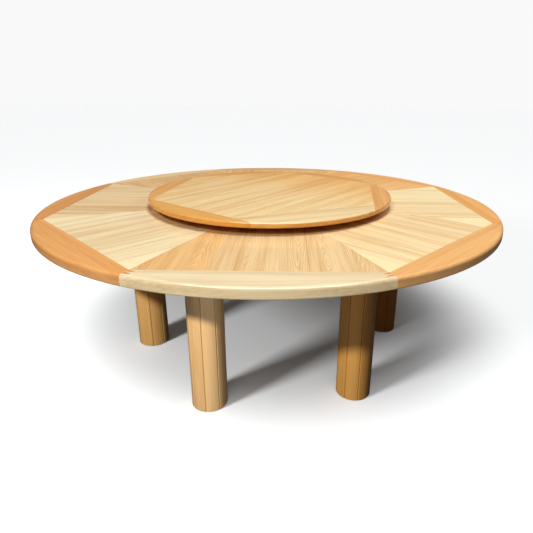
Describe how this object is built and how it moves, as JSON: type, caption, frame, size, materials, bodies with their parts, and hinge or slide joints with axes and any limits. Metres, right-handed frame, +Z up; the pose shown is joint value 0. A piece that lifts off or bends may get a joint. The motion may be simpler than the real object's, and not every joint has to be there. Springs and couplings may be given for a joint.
{
  "type": "dining table",
  "caption": "Round wooden dining table: an octagonal field in a finger-jointed rim, coopered column legs and a turning serving tray on a ball-bearing ring.",
  "frame": {"origin": "on the floor, under the centre of the round top", "axes": "+Z up; -Y towards the front, square to the first rim segment; +X to the right"},
  "size_m": [2, 2, 0.757],
  "materials": {
    "pale_rim": "satin lacquered pale beech",
    "amber_rim": "satin lacquered amber beech",
    "brown_rim": "satin lacquered brown beech",
    "tan_boards": "satin lacquered tan boards with cathedral grain",
    "straw_boards": "satin lacquered straw-coloured boards",
    "amber_boards": "satin lacquered amber boards",
    "tray_boards": "satin lacquered honey-coloured boards",
    "leg_wood": "satin lacquered golden staves",
    "core_wood": "sanded plywood, sealed",
    "plain_wood": "planed, unfinished",
    "steel": "zinc plated",
    "aluminium": "satin anodised",
    "cage_plastic": "natural nylon",
    "felt": "dense brown wool felt"
  },
  "bodies": {
    "table": {"top_rim_1": "pale_rim", "top_field_1": "tan_boards", "top_rim_2": "amber_rim", "top_field_2": "straw_boards", "top_rim_3": "amber_rim", "top_field_3": "straw_boards", "top_rim_4": "amber_rim", "top_field_4": "amber_boards", "top_rim_5": "brown_rim", "top_field_5": "amber_boards", "top_rim_6": "pale_rim", "top_field_6": "tan_boards", "top_rim_7": "amber_rim", "top_field_7": "straw_boards", "top_rim_8": "amber_rim", "top_field_8": "straw_boards", "top_core": "core_wood", "rim_tongues": "plain_wood", "leg_1_staves": "leg_wood", "leg_1_top_block": "plain_wood", "leg_1_foot_block": "plain_wood", "leg_2_staves": "leg_wood", "leg_2_top_block": "plain_wood", "leg_2_foot_block": "plain_wood", "leg_3_staves": "leg_wood", "leg_3_top_block": "plain_wood", "leg_3_foot_block": "plain_wood", "leg_4_staves": "leg_wood", "leg_4_top_block": "plain_wood", "leg_4_foot_block": "plain_wood", "leg_5_staves": "leg_wood", "leg_5_top_block": "plain_wood", "leg_5_foot_block": "plain_wood", "leg_6_staves": "leg_wood", "leg_6_top_block": "plain_wood", "leg_6_foot_block": "plain_wood", "leg_pads": "felt", "leg_sleeves": "steel", "leg_plates": "steel", "leg_plate_screws": "steel", "turntable_felt": "felt", "turntable_base": "plain_wood", "bearing_outer_ring": "aluminium", "outer_ring_screws": "steel"},
    "susan": {"susan_rim_1": "amber_rim", "susan_rim_2": "pale_rim", "susan_rim_3": "amber_rim", "susan_rim_4": "amber_rim", "susan_rim_5": "amber_rim", "susan_rim_6": "amber_rim", "susan_field": "tray_boards", "susan_tongues": "plain_wood", "bearing_inner_ring": "aluminium", "inner_ring_screws": "steel"},
    "ball_cage": {"bearing_cage": "cage_plastic", "bearing_balls": "steel"}
  },
  "joints": [
    {"name": "susan_spin", "type": "hinge", "parent": "table", "child": "susan", "pos_m": [0, 0, 0.727], "axis": [0, 0, 1], "continuous": true},
    {"name": "cage_spin", "type": "hinge", "parent": "table", "child": "ball_cage", "pos_m": [0, 0, 0.727], "axis": [0, 0, 1], "continuous": true}
  ],
  "couplings": [
    {"joint": "cage_spin", "follows": "susan_spin", "ratio": 0.5}
  ]
}
